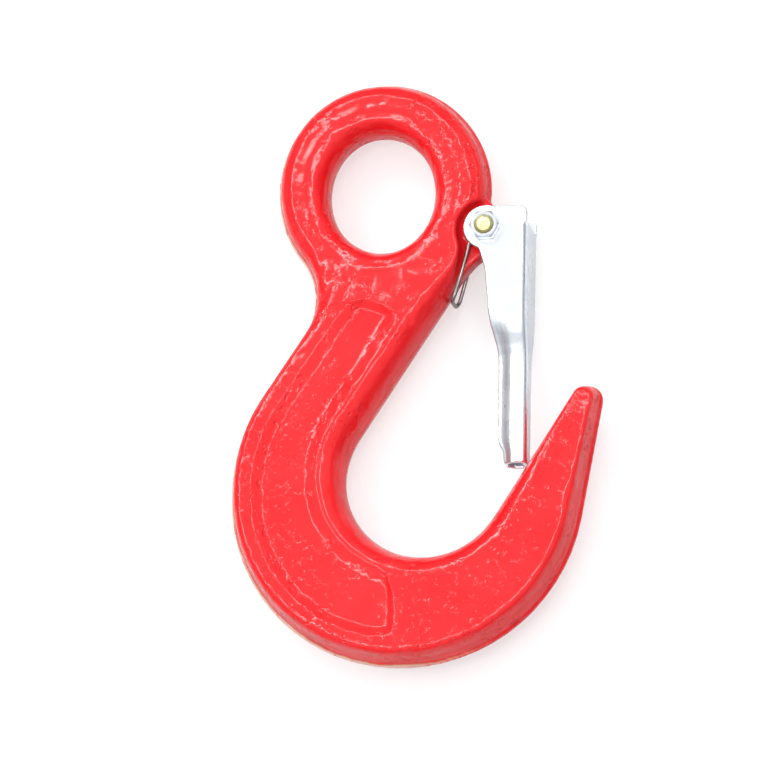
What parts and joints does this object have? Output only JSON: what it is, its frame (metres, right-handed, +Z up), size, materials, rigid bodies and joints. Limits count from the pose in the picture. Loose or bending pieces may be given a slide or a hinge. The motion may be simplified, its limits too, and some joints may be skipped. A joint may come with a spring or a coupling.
{
  "type": "eye hook with latch",
  "caption": "Forged lifting hook with an oval eye at the top, a deep bowl and a sprung sheet-metal latch that pivots on a bolt and closes the throat.",
  "frame": {"origin": "centre of the eye hole on the hook's mid-plane", "axes": "+Z up along the load line, from the bowl toward the eye; +X from the shank toward the point; Y through the thickness, along the eye's hole and the latch pivot, with the nut on the -Y side"},
  "size_m": [0.1148, 0.0251, 0.1843],
  "materials": {
    "paint": "thick gloss paint over forging scale",
    "zinc": "bright zinc plate on pressed sheet",
    "passivate": "yellow passivated zinc",
    "nut_zinc": "bright zinc plate",
    "spring_steel": "oiled spring wire"
  },
  "bodies": {
    "hook": {"hook_body": "paint"},
    "latch_arm": {"latch": "zinc", "pivot_bolt": "passivate", "lock_nut": "nut_zinc", "torsion_spring": "spring_steel"}
  },
  "joints": [
    {"name": "latch_pivot", "type": "hinge", "parent": "hook", "child": "latch_arm", "pos_m": [0.0333, 0, -0.0141], "axis": [0, 1, 0], "range_deg": [0, 34], "stiffness_Nm_per_rad": 0.08, "springref_deg": -51.57, "deforming": ["torsion_spring"]}
  ]
}
